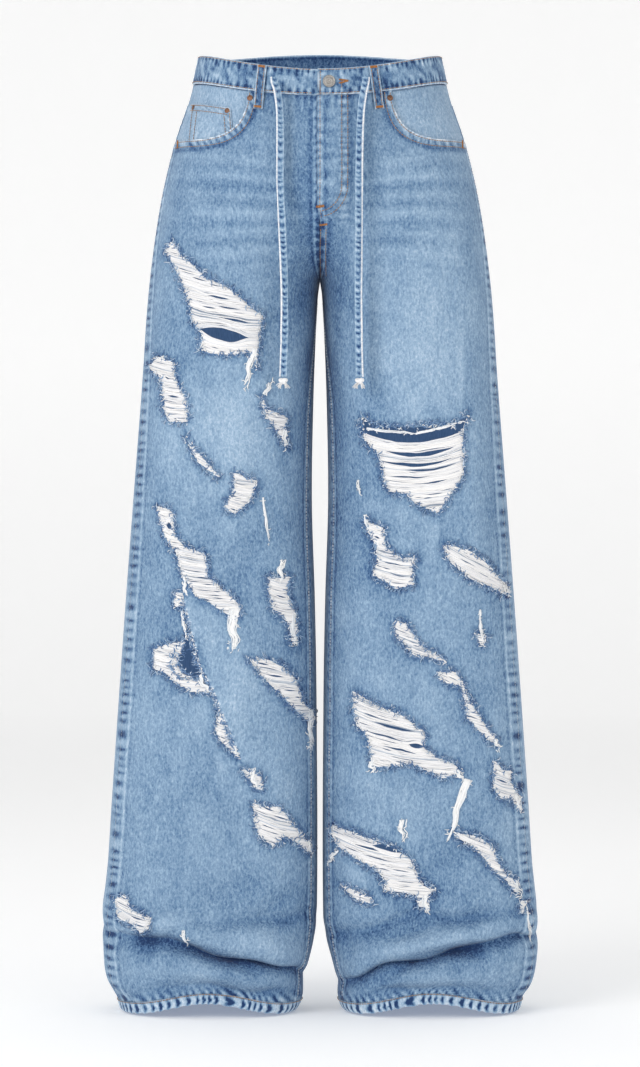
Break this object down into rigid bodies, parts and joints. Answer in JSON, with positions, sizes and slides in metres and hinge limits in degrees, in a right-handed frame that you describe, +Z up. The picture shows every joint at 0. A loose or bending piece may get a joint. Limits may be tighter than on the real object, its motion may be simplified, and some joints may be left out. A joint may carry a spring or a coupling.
{
  "type": "ripped wide-leg jeans",
  "caption": "Light-wash wide-leg denim trousers in worn form, hollow, with ripped legs, a waist drawstring, scooped front pockets and stacked hems.",
  "frame": {"origin": "middle of the waist opening, level with the waistband's top edge at the sides, where the wearer's waist holds the garment up", "axes": "+X to the wearer's left, -Y to the front, +Z up"},
  "size_m": [0.5161, 0.2477, 1.1382],
  "materials": {
    "denim": "light indigo-wash cotton twill, matt, worn pale over the thighs",
    "denim_facing": "the same twill, a little paler, on the pocket facings and coin pocket",
    "drawstring_denim": "folded strip of the same twill with one raw white edge",
    "cotton_thread": "undyed cotton weft threads, matt and fuzzy",
    "nickel": "brushed nickel-plated shank button",
    "copper": "aged copper rivets"
  },
  "bodies": {
    "root": {"front_left": "denim", "back_left": "denim", "yoke_left": "denim", "hem_left": "denim", "back_pocket_left": "denim", "pocket_facing_left": "denim_facing", "drawstring_left": "drawstring_denim", "knot_left": "cotton_thread", "pocket_rivet_left": "copper", "front_right": "denim", "back_right": "denim", "yoke_right": "denim", "hem_right": "denim", "back_pocket_right": "denim", "pocket_facing_right": "denim_facing", "drawstring_right": "drawstring_denim", "knot_right": "cotton_thread", "pocket_rivet_right": "copper", "coin_pocket": "denim_facing", "fly_facing": "denim", "waistband": "denim", "belt_loop_front_left": "denim", "belt_loop_side_left": "denim", "belt_loop_back": "denim", "belt_loop_side_right": "denim", "belt_loop_front_right": "denim", "threads_thigh_right": "cotton_thread", "threads_knee_right": "cotton_thread", "threads_inner_shin_right": "cotton_thread", "threads_knee_left": "cotton_thread", "threads_below_knee_left": "cotton_thread", "threads_shin_left": "cotton_thread", "threads_ankle_left": "cotton_thread", "button": "nickel", "coin_rivet_outer": "copper", "coin_rivet_inner": "copper"}
  },
  "joints": []
}
